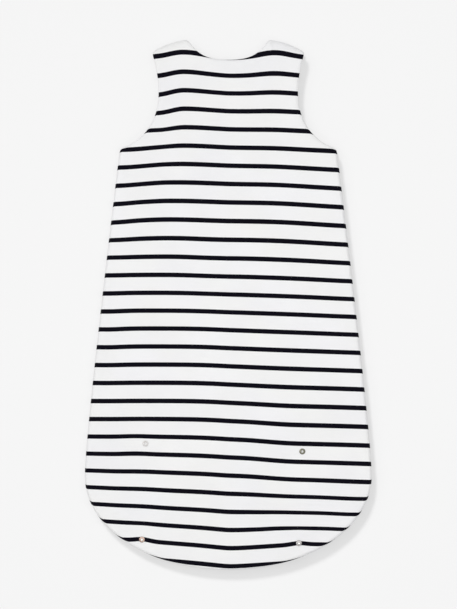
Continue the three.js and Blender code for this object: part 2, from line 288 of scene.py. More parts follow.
def jersey(name, striped):
    """Fine single jersey, white, or white with navy stripes."""
    n = Nodes(name)
    cloth = n.attribute("cloth", "Vector")
    shade = n.uneven(cloth, 14.0, 3.0, 0.985, 1.012)
    slub = n.remap(n.noise(cloth, 2600.0, 1.0), 0.25, 0.75, 0.97, 1.03)
    color = n.mix(n.remap(n.noise(cloth, 9.0), 0.35, 0.65, 0.0, 1.0), COOL_WHITE, WARM_WHITE)
    if striped:
        # The attribute is a whole number at each stripe's centre.
        stripe = n.attribute("stripe", "Fac")
        fray = n.times(n.math("SUBTRACT", n.noise(cloth, 1500.0, 2.0), 0.5), 0.012)
        away = n.math("PINGPONG", n.math("ADD", stripe, fray), 0.5)
        half = STRIPE_WIDTH / STRIPE_PITCH / 2
        dyed = n.remap(away, half - 0.004, half + 0.004, 1.0, 0.0)
        color = n.mix(dyed, color, NAVY)
    n.bump(knit_height(n), 0.00012, 0.5)
    return n.finish(n.brighten(color, n.times(shade, slub)), 0.92, sheen=0.02, specular=0.06)


def wadding_material():
    """Lofty white fibres."""
    n = Nodes("wadding_fibre")
    cloth = n.attribute("cloth", "Vector")
    tone = n.uneven(cloth, 40.0, 3.0, 0.94, 1.04)
    n.bump(n.noise(cloth, 700.0, 5.0, 0.75), 0.0012, 0.7)
    return n.finish(n.brighten((0.84, 0.84, 0.81), tone), 1.0, sheen=0.4)


def woven(name, color, thread, gloss=0.0):
    """A woven tape: warp and weft threads that pass over each other."""
    n = Nodes(name)
    place = n.place()
    x, y, _ = n.split(place)
    warp, weft = (n.math("SINE", n.times(along, TURN / (thread * MM))) for along in (x, y))
    n.bump(n.times(warp, weft), 0.0001, 0.6)
    return n.finish(n.brighten(color, n.uneven(place, 300.0, 3.0, 0.97, 1.02)), 0.75 - gloss, sheen=0.2)


def thread_material():
    """Spun sewing thread, with its twist."""
    n = Nodes("sewing_thread")
    place = n.place()
    x, y, z = n.split(place)
    twist = n.math("SINE", n.times(n.math("ADD", n.math("ADD", x, y), z), TURN / (0.4 * MM)))
    n.bump(twist, 0.00006, 0.6)
    return n.finish(n.brighten((0.82, 0.82, 0.83), n.uneven(place, 500.0, 2.0, 0.95, 1.03)), 0.7, sheen=0.2)


def metal(name, color, worn, roughness=0.24):
    """Plated metal, warmer where the plating is thin, with fine turning marks."""
    n = Nodes(name)
    place = n.place()
    patches = n.remap(n.noise(place, 420.0, 3.0), 0.42, 0.66, 0.0, 1.0)
    scratches = n.noise(place, 3000.0, 2.0)
    n.bump(scratches, 0.00003, 0.35)
    rough = n.remap(scratches, 0.3, 0.7, roughness - 0.06, roughness + 0.1)
    return n.finish(n.mix(patches, color, worn), rough, metallic=1.0)


def enamel(name, color, roughness=0.3):
    """White enamel or moulded plastic, a little uneven."""
    n = Nodes(name)
    place = n.place()
    n.bump(n.noise(place, 900.0, 2.0), 0.00003, 0.3)
    return n.finish(n.brighten(color, n.uneven(place, 200.0, 2.0, 0.97, 1.02)), roughness, coat=0.3)


# ---- Outlines ----

EDGE_STEP = 3.6  # between the points of an outline


def unit(vectors):
    return vectors / np.linalg.norm(vectors, axis=1, keepdims=True)


def bezier(points):
    """Evenly timed points on the Bezier curve with these control points."""
    controls = [np.array(p, float) for p in points]
    length = sum(np.linalg.norm(b - a) for a, b in zip(controls, controls[1:]))
    t = np.linspace(0, 1, max(2, round(length / EDGE_STEP)) + 1)[:, None]
    level = controls
    while len(level) > 1:
        level = [a * (1 - t) + b * t for a, b in zip(level, level[1:])]
    return level[0]


# How a sheet ends: how deep its edge lies under its face, and how wide it rolls over to get there.
JOINED = (MIDDLE_Z - 0.2, 6)
SHOULDER = (MIDDLE_Z - 0.2, 24)
OPENED = (4.6, 8)
TURNED_IN = (4.4, 2.6)
CENTRE_SEAM = (1.5, 3)
ROLL_STEPS = [1 - math.cos(math.radians(a)) for a in (14, 30, 46, 62, 76, 90)]


def chunks(places):
    return np.array_split(places, max(1, len(places) // 2000))


class Boundary:
    """A closed polygon, anticlockwise, with the depth and the radius of the sheet's edge at each point."""

    def __init__(self, points, edges):
        self.points = np.array(points, float)
        self.edges = np.array(edges, float)

    def softened(self, corners=2, edges=6):
        """The same with its corners rounded a little, and each kind of edge running gently into the next."""
        points, kinds = self.points, self.edges
        for _ in range(corners):
            points = (np.roll(points, 1, 0) + points * 2 + np.roll(points, -1, 0)) / 4
        for _ in range(edges):
            kinds = (np.roll(kinds, 1, 0) + kinds * 2 + np.roll(kinds, -1, 0)) / 4
        return Boundary(points, kinds)

    def nearest(self, places):
        """How far inside each place lies, and the depth, the radius and the length so far of the edge by it."""
        a = self.points
        ends = np.roll(a, -1, 0)
        step = ends - a
        square = (step**2).sum(1)
        so_far = np.concatenate([[0], np.cumsum(np.sqrt(square))[:-1]])
        found = []
        for chunk in chunks(places):
            away = chunk[:, None] - a[None]
            t = np.clip((away * step).sum(2) / square, 0, 1)
            distance = ((away - t[..., None] * step) ** 2).sum(2)
            k = distance.argmin(1)
            rows = np.arange(len(chunk))
            t = t[rows, k][:, None]
            edge = self.edges[k] * (1 - t) + self.edges[(k + 1) % len(a)] * t
            y = chunk[:, 1:2]
            crosses = (a[None, :, 1] > y) != (ends[None, :, 1] > y)
            with np.errstate(divide="ignore", invalid="ignore"):
                at = a[None, :, 0] + (y - a[None, :, 1]) * step[None, :, 0] / step[None, :, 1]
            odd = ((crosses & (chunk[:, :1] < at)).sum(1) % 2) == 1
            inside = np.sqrt(distance[rows, k]) * np.where(odd, 1, -1)
            found.append((inside, edge[:, 0], edge[:, 1], so_far[k] + t[:, 0] * np.sqrt(square[k])))
        return tuple(np.concatenate(part) for part in zip(*found))

    def normals(self):
        """Unit vectors that point inwards at each point."""
        along = unit(np.roll(self.points, -1, 0) - np.roll(self.points, 1, 0))
        return np.stack([-along[:, 1], along[:, 0]], 1)

    def outward(self, places):
        """Unit vectors that point straight out of the edge nearest to each place."""
        nearest = [((c[:, None] - self.points[None]) ** 2).sum(2).argmin(1) for c in chunks(places)]
        return -self.normals()[np.concatenate(nearest)]

    def mirrored(self):
        return Boundary(self.points[::-1] * (-1, 1), self.edges[::-1])

    def inset(self, distance):
        moved = self.points + self.normals() * distance
        kept = self.nearest(moved)[0] > distance * 0.9
        return Boundary(moved[kept], self.edges[kept])

    def area(self):
        """In square metres."""
        x, y = self.points.T
        return abs((x * np.roll(y, -1) - y * np.roll(x, -1)).sum()) / 2 * MM * MM


def outline(neck):
    """The whole outline from its foot's lowest point, with one of the two necklines."""
    angles = np.linspace(-math.pi / 2, 0, 84)
    runs = [
        (np.stack([FOOT_HALF * np.cos(angles), FOOT_Y + FOOT_DEPTH * np.sin(angles)], 1), JOINED),
        (bezier([(FOOT_HALF, FOOT_Y), (FOOT_HALF, FOOT_Y + 63), UNDERARM]), JOINED),
        (bezier([UNDERARM, (119, 268), (96, 319), SHOULDER_TIP]), OPENED),
        (bezier([SHOULDER_TIP, (93, TOP_Y - 2), NECK_TIP]), SHOULDER),
        (bezier([NECK_TIP, *neck]), OPENED),
    ]
    points, edges = [], []
    for run, edge in runs:
        for p in run:
            if not points or np.linalg.norm(p - points[-1]) > 0.4:
                points.append(p)
                edges.append(edge)
    left = [(-x, y) for x, y in points[-2:0:-1]]
    return Boundary(points + left, edges + edges[-2:0:-1])


def slotted(whole, slot, end_y, edge, seam=None):
    """An outline with a slot down its middle from the neck to end_y. With a seam, only its right-hand half."""
    points, edges = whole.points, whole.edges
    gone = np.flatnonzero((np.abs(points[:, 0]) < slot) & (points[:, 1] > 0))
    right = slice(0, gone[0])
    down = [(slot, y) for y in np.arange(points[gone[0] - 1][1] - 2, end_y + 1, -EDGE_STEP)] + [(slot, end_y)]
    if seam is None:
        across = [(x, end_y) for x in np.linspace(slot, -slot, 9)[1:-1]]
        up = [(-x, y) for x, y in reversed(down)]
        left = slice(gone[-1] + 1, None)
        cut = down + across + up
        new = np.concatenate([points[right], cut, points[left]])
        return Boundary(new, np.concatenate([edges[right], [edge] * len(cut), edges[left]]))
    kept = points[right, 0] > GAP
    across = [(x, end_y) for x in np.linspace(slot, GAP / 2, 4)[1:]]
    centre = [(GAP / 2, y) for y in np.arange(end_y - 2, -TOP_Y + 1, -EDGE_STEP)] + [(GAP / 2, -TOP_Y)]
    new = np.concatenate([points[right][kept], down, across, centre])
    kinds = [edge] * len(down + across) + [seam] * len(centre)
    return Boundary(new, np.concatenate([edges[right][kept], kinds]))


# ---- How the cloth lies ----

SNAPS = {name: sum(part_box(name), Vector()) / 2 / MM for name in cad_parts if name.startswith("snap_")}


def fold_frame(places):
    """Coordinates along the fold line and up from it."""
    moved = places - (0, FOLD_Y)
    c, s = math.cos(FOLD_SKEW), math.sin(FOLD_SKEW)
    return np.stack([moved[:, 0] * c + moved[:, 1] * s, moved[:, 1] * c - moved[:, 0] * s], 1)


def fold_point(along, up):
    """The place at those coordinates."""
    c, s = math.cos(FOLD_SKEW), math.sin(FOLD_SKEW)
    return along * c - up * s, FOLD_Y + along * s + up * c


def bell(value, width):
    return np.exp(-((value / width) ** 2) / 2)


def ease(value, low, high):
    t = np.clip((value - low) / (high - low), 0, 1)
    return t * t * (3 - 2 * t)


def near_snaps(places, width):
    """1 at each snap, falling to 0 around it."""
    closeness = np.zeros(len(places))
    for snap in SNAPS.values():
        away = np.linalg.norm(places - (snap.x, snap.y), axis=1)
        closeness = np.maximum(closeness, bell(away, width))
    return closeness


# Soft spots where the cloth lies shifted towards the neck: how far, then the spot's middle and spread in x and in y.
SHIFTS = (
    (1.5, 75, 45, 170, 75),
    (-1.2, 80, 60, -200, 80),
    (-1.8, -95, 45, -320, 45),
    (-2.5, -200, 30, 125, 32),
    (-5.0, 205, 35, -368, 42),
    (-2.2, 0, 900, 60, 62),
    (-2.2, 0, 900, 385, 34),
    (-1.4, -155, 34, 248, 14),
    (-1.2, -112, 26, 296, 18),
    (0.9, -148, 20, 160, 30),
    (-1.6, -195, 22, -35, 60),
    (1.2, -150, 18, -225, 20),
    (-1.0, -33, 28, 75, 55),
    (-1.1, 195, 35, 95, 95),
    (1.1, 83, 20, -358, 22),
)


def stripe_rise(places):
    """How far the cloth has shifted towards the neck, so that its stripes aren't straight."""
    x, y = places.T
    below_neck = np.maximum(0, 404 - y)
    rise = 7.0 * np.exp(-below_neck / 80) * bell(x + 72, np.where(x < -72, 24, 31))
    rise += 8.6 * np.exp(-below_neck / 50) * bell(x - 74, 26)
    rise += np.where(x < 0, 2.5 * np.tanh(-x / 50), -0.036 * x * ease(below_neck, 0, 200))
    for size, middle_x, spread_x, middle_y, spread_y in SHIFTS:
        rise += size * bell(x - middle_x, spread_x) * bell(y - middle_y, spread_y)
    # It sags more beside the left armhole, and a little at the foot end's sides.
    rise -= 5.0 * bell(y - 325, 42) * ease(-x, 70, 112)
    rise -= 5.0 * bell(y - 200, 62) * ease(-x, 95, 175)
    rise -= 2.8 * bell(y + 245, 58) * ease(x, 20, 110) + 2.0 * bell(y + 300, 60) * ease(-x, 120, 190)
    # The foot end's sides are drawn up, more on the left. The bend at the middle is a soft one.
    left, right = np.hypot(np.minimum(x, 0), 14) - 14, np.hypot(np.maximum(x, 0), 14) - 14
    rise += 0.08 * left * ease(-y, 160, 400) + 0.105 * right * ease(-y, 285, 405)
    for name, snap in SNAPS.items():
        if "stud" in name:
            rise += 3.0 * bell(x - snap.x, 11) * bell(y - snap.y, 12)
    return rise


def stripe_place(places):
    """Whole numbers fall on the stripes' centres."""
    return (places[:, 1] - stripe_rise(places) - FIRST_STRIPE_Y) / STRIPE_PITCH


def waves(places, seed):
    """Low soft waves in a laid layer."""
    rng = np.random.default_rng(seed)
    x, y = places.T
    height = np.zeros(len(places))
    for wavelength, size in ((310, 0.26), (170, 0.2), (95, 0.13), (60, 0.08)):
        for _ in range(3):
            angle, phase = rng.uniform(0, math.pi), rng.uniform(0, TURN)
            direction = x * math.cos(angle) * 0.8 + y * math.sin(angle)
            height += size * np.sin(TURN * direction / wavelength + phase)
    return height


def puckers(along, inside, seed):
    """Short ripples where a seam gathers the cloth."""
    rng = np.random.default_rng(seed)
    height = np.zeros(len(along))
    for wavelength, size in ((23, 0.3), (15.5, 0.22), (11, 0.12)):
        height += size * np.sin(TURN * along / wavelength + rng.uniform(0, TURN))
    swell = 0.6 + 0.4 * np.sin(TURN * along / 190 + rng.uniform(0, 6))
    return height * swell * ease(inside, 0.2, 3) * np.exp(-inside / 9)


ROLL_SQUARENESS = 2.4  # 2 makes a round edge, more a squarer one


def rolled(inside, depth, radius):
    """How deep a rolled edge lies under its face, at each distance inside it."""
    t = np.clip(inside / np.maximum(radius, 0.01), 0, 1)
    return depth * (1 - (1 - (1 - t) ** ROLL_SQUARENESS) ** (1 / ROLL_SQUARENESS))


# ---- Meshes ----


def triangulated(boundary, spacing, ring_steps, bends_at_fold=True):
    """Places and faces that fill a boundary, in rings along its edge, then in an even grid, closer at the fold."""
    normals = boundary.normals()
    radii = boundary.edges[:, 1]
    sets = [boundary.points]
    for step in ring_steps:
        ring = boundary.points + normals * (radii * step)[:, None]
        sets.append(ring[boundary.nearest(ring)[0] > radii * step * 0.93])
    low, high = boundary.points.min(0), boundary.points.max(0)
    rows = np.arange(low[1], high[1], spacing * math.sqrt(3) / 2)
    grid = [(x + i % 2 * spacing / 2, y) for i, y in enumerate(rows) for x in np.arange(low[0], high[0], spacing)]
    inner = np.array(grid)
    if bends_at_fold:
        bends = [
            fold_point(x + i % 2 * spacing / 2, up)
            for i, up in enumerate(np.arange(-FOLD_BAND - 2, FOLD_BAND + 2.1, 1.9))
            for x in np.arange(-250, 250, spacing)
        ]
        inner = np.concatenate([inner[np.abs(fold_frame(inner)[:, 1]) > FOLD_BAND + 4], np.array(bends)])
    inside, _, radius, _ = boundary.nearest(inner)
    last = ring_steps[-1] if len(ring_steps) else 0
    sets.append(inner[inside > radius * last + spacing * 0.45])
    count = len(boundary.points)
    edges = [(i, (i + 1) % count) for i in range(count)]
    made = geometry.delaunay_2d_cdt([Vector(p) for p in np.concatenate(sets)], edges, [], 1, 1e-5)
    return np.array([tuple(p) for p in made[0]]), np.array([f for f in made[2] if len(f) == 3])


def vertex_normals(points, faces):
    a, b, c = (points[faces[:, k]] for k in range(3))
    flat = np.cross(b - a, c - a)
    normals = np.zeros_like(points)
    for k in range(3):
        np.add.at(normals, faces[:, k], flat)
    return normals / np.maximum(np.linalg.norm(normals, axis=1, keepdims=True), 1e-12)


def closed_between(front, back, faces):
    """A closed body between two surfaces that share their faces."""
    edges = np.concatenate([faces[:, [0, 1]], faces[:, [1, 2]], faces[:, [2, 0]]])
    _, first, counts = np.unique(np.sort(edges, 1), axis=0, return_index=True, return_counts=True)
    count = len(front)
    sides = [(a, a + count, b + count, b) for a, b in edges[first[counts == 1]]]
    return np.concatenate([front, back]), [*map(tuple, faces), *map(tuple, faces[:, ::-1] + count), *sides]


def thick(points, faces, thickness):
    """A closed sheet: the surface, and a copy of it moved back along its normals."""
    return closed_between(points, points - vertex_normals(points, faces) * thickness, faces)


class Shape:
    """Points in mm and faces, gathered from several solids."""

    def __init__(self):
        self.points = []
        self.faces = []

    def add(self, points, faces):
        base = len(self.points)
        self.points.extend(tuple(map(float, p)) for p in points)
        self.faces.extend(tuple(int(i) + base for i in f) for f in faces)
        return self


def piece(name, shape, stuff, body, nodes=(), unrolled=None, sharp=None):
    """An object of the bag. With no body, as for the pieces that reach from the bag's body to its foot, its place is
    baked into its points and it is attached to nothing.

    Stuff is a slot, which is not used, and its material. Unrolled gives the points' places in the flat cloth, where
    the cloth rolls over.
    Edges of more degrees than sharp stay hard.
    """
    slot, material = stuff
    points, faces = (shape.points, shape.faces) if isinstance(shape, Shape) else shape
    mesh = bpy.data.meshes.new(name)
    mesh.from_pydata((np.asarray(points, float) * MM).tolist(), [], [tuple(int(i) for i in f) for f in faces])
    mesh.validate()
    mesh.shade_smooth()
    made = link(bpy.data.objects.new(name, mesh))
    mesh.materials.append(material)
    places = np.array([v.co for v in mesh.vertices])[:, :2] / MM if unrolled is None else unrolled
    stripe = stripe_place(places)
    cloth = np.stack([places[:, 0], stripe * STRIPE_PITCH, np.zeros(len(places))], 1) * MM
    # The knit and the stripes read these, so that they stay in the cloth when it moves.
    mesh.attributes.new("cloth", "FLOAT_VECTOR", "POINT").data.foreach_set("vector", cloth.ravel())
    mesh.attributes.new("stripe", "FLOAT", "POINT").data.foreach_set("value", stripe)
    if body:
        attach(made, body)
    else:
        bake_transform(made)
    if nodes:
        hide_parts(*nodes)
    if sharp:
        mesh.set_sharp_from_angle(angle=math.radians(sharp))
    return made


# ---- The back's cloth settles on its pad ----


def settle(boundary):
    """Lays the back's cloth, cut a little larger than its pad and sewn at its edges, and lets it settle.

    Gives a function from places to how much prouder or deeper than usual the cloth lies there, in mm.
    """
    places, faces = triangulated(boundary, SETTLE_SPACING, (), bends_at_fold=False)
    pad_height = waves(places, 3)
    rng = np.random.default_rng(7)
    held = (boundary.nearest(places)[0] < 2) | (near_snaps(places, 9) > 0.6)
    start = pad_height + np.where(held, 0, rng.uniform(0.2, 0.5, len(places)))
    scene = bpy.context.scene
    made = []
    for name, height in (("settling_pad", pad_height - 1.2), ("settling_cloth", start)):
        mesh = bpy.data.meshes.new(name)
        mesh.from_pydata((np.column_stack([places, height]) * MM).tolist(), [], faces.tolist())
        made.append(link(bpy.data.objects.new(name, mesh)))
    pad, sheet = made
    pad.modifiers.new("collision", "COLLISION")
    pad.collision.thickness_outer = 0.001
    pad.collision.cloth_friction = 12
    pins = sheet.vertex_groups.new(name="held")
    pins.add(np.flatnonzero(held).tolist(), 1.0, "REPLACE")
    modifier = sheet.modifiers.new("cloth", "CLOTH")
    rules = modifier.settings
    rules.quality = 6
    rules.mass = 0.00002
    rules.tension_stiffness = rules.compression_stiffness = 6
    rules.shear_stiffness = 3
    rules.bending_stiffness = 0.02
    rules.air_damping = 2
    rules.shrink_min = rules.shrink_max = -SETTLE_SURPLUS
    rules.vertex_group_mass = pins.name
    modifier.collision_settings.distance_min = 0.0005
    modifier.collision_settings.use_self_collision = False
    modifier.point_cache.frame_end = SETTLE_FRAMES
    for frame_number in range(1, SETTLE_FRAMES + 1):
        scene.frame_set(frame_number)
    settled = sheet.evaluated_get(bpy.context.evaluated_depsgraph_get())
    heights = np.array([v.co.z for v in settled.data.vertices]) / MM
    for thing in made:
        bpy.data.objects.remove(thing)
    scene.frame_set(1)
    tree = KDTree(len(places))
    for i, (x, y) in enumerate(places):
        tree.insert((x, y, 0), i)
    tree.balance()
    rises = (heights - pad_height) * SETTLE_SHARE
    rises -= np.median(rises)

    def rise_at(wanted):
        found = [tree.find_n((x, y, 0), 6) for x, y in wanted]
        near = np.array([[(i, away) for _, i, away in row] for row in found])
        weights = np.exp(-((near[:, :, 1] / SETTLE_SPACING) ** 2))
        return (rises[near[:, :, 0].astype(int)] * weights).sum(1) / weights.sum(1)

    return rise_at


# ---- The padded layers ----

BACK_SPACING = 6.0  # of the points in the back's cloth
FRONT_SPACING = 6.5
INNER_SPACING = 9.0  # of those in the wadding and the linings
FILLING_INSET = 1.9  # of the wadding and the linings, from the shell's outline

class Layer:
    """The back or the front: how its outer face and its lining lie, as depths below its outer plane."""

    def __init__(self, is_back, seed):
        self.is_back = is_back
        self.seed = seed
        self.settled = None

    def points(self, places, depth):
        return np.column_stack([places, TOP_Z - depth if self.is_back else depth])

    def facing_out(self, faces):
        return faces if self.is_back else faces[:, ::-1]

    def lie(self, places, inside, along):
        """How much prouder than its plane the outer face lies."""
        ripples = waves(places, self.seed) * (1 if self.is_back else 0.6)
        lie = ripples * ease(inside, 2, 30) + puckers(along, inside, self.seed + 1)
        if not self.is_back:
            return -np.abs(lie)
        if self.settled:
            lie = lie * 0.6 + self.settled(places) * ease(inside, 1, 12)
        return np.clip(lie, -1.1, 0.9) * (1 - near_snaps(places, 9))

    def face(self, boundary, places):
        inside, depth, radius, along = boundary.nearest(places)
        inside = np.maximum(inside, 0)
        return rolled(inside, depth, radius) - self.lie(places, inside, along)

    def lining(self, boundary, places):
        """The lining's inner face. It runs out to the seam, or up to an open edge."""
        inside, depth, _, _ = boundary.nearest(places)
        inside = np.maximum(inside, 0)
        joined = (depth - OPENED[0]) / (JOINED[0] - OPENED[0])
        edge = depth + 0.9 - 2.3 * joined
        ripples = 0.25 * waves(places, self.seed + 5) * ease(inside, 2, 30)
        return LAYER - rolled(inside, LAYER - edge, 6 + 5 * joined) + ripples


BACK = Layer(True, 3)
FRONT = Layer(False, 11)


def shell_shape(layer, boundary, spacing):
    """A shell's cloth: its outer face, with the seam's groove at its edge, and the same again inside.

    Also gives the places of its points in the cloth before it was rolled over at the edges.
    """
    places, faces = triangulated(boundary, spacing, ROLL_STEPS)
    depth = layer.face(boundary, places)
    # Down the side the cloth is about this much longer than it reaches out.
    surplus = 0.76 * np.maximum(depth, 0) * ease(depth, 0.3, 2) * ease(-places[:, 1], -388, -375)
    unrolled = places + boundary.outward(places) * surplus[:, None]
    count = len(boundary.points)
    seam = (boundary.edges[:, 0] > MIDDLE_Z * 0.7)[:, None]
    places[:count] += boundary.normals() * seam * 0.8
    return *thick(layer.points(places, depth), layer.facing_out(faces), SHELL), np.tile(unrolled, (2, 1))


def wadding_shape(layer, boundary, within):
    """The pad between a shell and its lining, with a thin round edge, pressed flat under each snap."""
    places, faces = triangulated(boundary, INNER_SPACING, (0.08, 0.25, 0.6))
    outer = layer.face(within, places) + SHELL + GAP
    if layer.is_back:
        outer += 2.7 * near_snaps(places, 10)
    else:
        # The front's cloth is drawn tight round the outside of the fold.
        outer += 1.4 * bell(fold_frame(places)[:, 1], FOLD_BAND)
    inner = layer.lining(within, places) - LINING - GAP
    inside = np.maximum(boundary.nearest(places)[0], 0)
    half = (inner - outer) / 2 * np.sqrt(1 - (1 - np.clip(inside / 3.5, 0, 1)) ** 2)
    middle = (inner + outer) / 2
    front, back = layer.points(places, middle - half), layer.points(places, middle + half)
    return closed_between(front, back, layer.facing_out(faces))


def lining_shape(layer, boundary, within):
    places, faces = triangulated(boundary, INNER_SPACING, (0.1, 0.3, 0.6, 1.0))
    depth = layer.lining(within, places)
    return thick(layer.points(places, depth), layer.facing_out(faces)[:, ::-1], LINING)


TURNINGS = 1.05  # area of a piece as cut, with its turnings and rolled edges, to the area that it covers


def cloth(made, area):
    """Takes a piece and its area in square metres, and does nothing with them."""


def make_shell(name, layer, boundary, spacing, nodes):
    *shape, unrolled = shell_shape(layer, boundary, spacing)
    cloth(piece(name, shape, STRIPED, None, nodes, unrolled), boundary.area() * TURNINGS)


def make_filling(name, layer, whole, pad_edge, lining_edge, lining_area, nodes):
    """A layer's pad and its lining. Nodes are the ends of their nodes' names."""
    shapes = wadding_shape(layer, pad_edge, whole), lining_shape(layer, lining_edge, whole)
    wadding = piece(f"{name}_wadding_pad", shapes[0], WADDING, None, [f"{name}_wadding{end}" for end in nodes[0]])
    lining = piece(f"{name}_lining_cloth", shapes[1], WHITE_JERSEY, None, [f"{name}_lining{end}" for end in nodes[1]])
    cloth(lining, lining_area * TURNINGS)


def make_back():
    whole = outline(BACK_NECK).softened()
    inner = whole.inset(FILLING_INSET)
    BACK.settled = settle(whole)
    make_shell("back_shell_cloth", BACK, whole, BACK_SPACING, ["back_shell", "back_shell_foot"])
    make_filling("back", BACK, whole, inner, inner, whole.area(), [("", "_foot"), ("", "_foot")])


def make_front():
    whole = outline(FRONT_NECK)
    half = slotted(whole, CHANNEL_HALF, CHANNEL_END_Y, TURNED_IN, CENTRE_SEAM).softened(1, 4)
    for side, edge in (("left", half.mirrored()), ("right", half)):
        nodes = [f"front_shell_{side}", f"front_shell_foot_{side}"]
        make_shell(f"front_shell_cloth_{side}", FRONT, edge, FRONT_SPACING, nodes)
    whole = whole.softened()
    inner = whole.inset(FILLING_INSET)
    pad_edge, lining_edge = (
        slotted(inner, half_slot, CHANNEL_END_Y - 3, OPENED).softened(1, 4) for half_slot in (15.8, 20.5)
    )
    ends = [("_left", "_right", "_foot")] * 2
    make_filling("front", FRONT, whole, pad_edge, lining_edge, lining_edge.area(), ends)


# ---- Seam allowances ----


def turns(count):
    """Angles evenly round a circle."""
    return np.arange(count) * TURN / count


def ring_faces(count, ring):
    """The faces that join count rings of points, each to the next."""
    starts = [(s * ring + i, s * ring + (i + 1) % ring) for s in range(count - 1) for i in range(ring)]
    return [(a, b, b + ring, a + ring) for a, b in starts]


def swept(sections):
    """A closed solid through sections, each a ring of points."""
    ring = len(sections[0])
    last = (len(sections) - 1) * ring
    ends = [tuple(range(ring))[::-1], tuple(range(last, last + ring))]
    return np.concatenate(sections), ring_faces(len(sections), ring) + ends


def turnings(path, inwards):
    """The four layers of cloth at a seam, sewn together and overlocked."""
    profile = [(1.5, -0.7), (5.5, -1.2), (8.6, -0.9), (9.1, 0), (8.6, 0.9), (5.5, 1.2), (1.5, 0.7)]
    sections = []
    for i, (p, n) in enumerate(zip(path, inwards)):
        bend = 0.5 * math.sin(i * 0.55) + 0.35 * math.sin(i * 1.31)
        ring = [(*(p + n * d), MIDDLE_Z + z + bend * (d - 1.5) / 7.6) for d, z in profile]
        sections.append(np.array(ring))
    return swept(sections)


def make_seams():
    whole = outline(BACK_NECK)
    points, inwards = whole.points, whole.normals()
    count = len(points)
    low = np.flatnonzero((points[:, 1] < UNDERARM[1] - 4))
    # From the left underarm round the foot to the right underarm.
    order = np.concatenate([low[low > count // 2], low[low <= count // 2]])
    piece("side_and_foot_turnings", turnings(points[order], inwards[order]), SEAM_CLOTH, None,
          ["side_seam_left", "side_seam_right", "foot_seam"])
    for side, sign in SIDES:
        x = points[:, 0] * sign
        shoulder = np.flatnonzero((points[:, 1] > 402) & (x > NECK_TIP[0] + 4) & (x < SHOULDER_TIP[0] - 3))
        shape = turnings(points[shoulder], inwards[shoulder])
        piece(f"shoulder_turnings_{side}", shape, SEAM_CLOTH, "main", [f"shoulder_seam_{side}"])


# ---- Zip ----


def tube(path, radius, sides=6):
    """A round tube along a path of a few points, its ends drawn in."""
    path = np.array(path, float)
    along = unit(np.gradient(path, axis=0))
    start = np.cross(along[0], (0, 0, 1) if abs(along[0][2]) < 0.9 else (0, 1, 0))
    angles = turns(sides)
    sections = []
    for i, (p, t) in enumerate(zip(path, along)):
        start = start - t * (start @ t)
        start /= np.linalg.norm(start)
        other = np.cross(t, start)
        size = radius * (0.6 if i in (0, len(path) - 1) else 1)
        sections.append(p + size * (np.cos(angles)[:, None] * start + np.sin(angles)[:, None] * other))
    return swept(sections)


def make_coils():
    for side, sign in SIDES:
        low, high = box(f"zip_teeth_{side}")
        pitch = 1.6
        coil = Shape()
        start = low.y + 0.6 + (pitch / 2 if sign > 0 else 0)
        for y in np.arange(start, high.y - 0.5, pitch):
            leg = [(3.4, y - 0.3, 6.05), (1.5, y - 0.1, 6.15), (0.85, y, 5.8), (0.72, y, 5.3),
                   (0.85, y, 4.8), (1.5, y + 0.1, 4.45), (3.4, y + 0.3, 4.55)]
            coil.add(*tube([(x * sign, at, z) for x, at, z in leg], 0.34))
        piece(f"zip_coil_{side}", coil, COIL, "main", [f"zip_teeth_{side}"], sharp=80)


def grid_sheet(columns, rows, place):
    """A surface of columns by rows, each point from place(u, v) with u and v from 0 to 1."""
    points = np.array([place(i / columns, j / rows) for j in range(rows + 1) for i in range(columns + 1)])
    faces = []
    for j in range(rows):
        for i in range(columns):
            a = j * (columns + 1) + i
            faces += [(a, a + 1, a + columns + 2), (a, a + columns + 2, a + columns + 1)]
    return points, np.array(faces)


def make_tapes():
    for side, sign in SIDES:
        low, high = box(f"zip_tape_{side}")
        inner, outer = (low.x, high.x) if sign > 0 else (-high.x, -low.x)

        def place(u, v):
            x = inner + (outer - inner) * u
            y = low.y + (high.y - low.y) * v
            # A cord is woven in beside the teeth, and the far edge waves a little where it is sewn.
            z = low.z + 0.28 + 0.16 * math.exp(-(((u - 0.08) / 0.06) ** 2)) + 0.12 * u * math.sin(v * 90)
            return x * sign, y, z

        points, faces = grid_sheet(14, 180, place)
        shape = thick(points, faces if sign > 0 else faces[:, ::-1], 0.45)
        made = piece(f"zip_tape_cloth_{side}", shape, TAPE, "main", [f"zip_tape_{side}"])
        cloth(made, (outer - inner) * (high.y - low.y) * MM * MM)


def rectangle(low, high, inset_x=0.0, inset_y=0.0):
    x0, y0, x1, y1 = low.x + inset_x, low.y + inset_y, high.x - inset_x, high.y - inset_y
    return [(x0, y0), (x1, y0), (x1, y1), (x0, y1)]


def rounded(corners, radius, steps=5):
    """A polygon with its corners rounded."""
    corners = [np.array(c, float) for c in corners]
    points = []
    for i, c in enumerate(corners):
        before, after = corners[i - 1] - c, corners[(i + 1) % len(corners)] - c
        reach = min(radius, np.linalg.norm(before) / 2.1, np.linalg.norm(after) / 2.1)
        a = c + before / np.linalg.norm(before) * reach
        b = c + after / np.linalg.norm(after) * reach
        for k in range(steps + 1):
            t = k / steps
            points.append(a * (1 - t) ** 2 + c * 2 * t * (1 - t) + b * t * t)
    return points


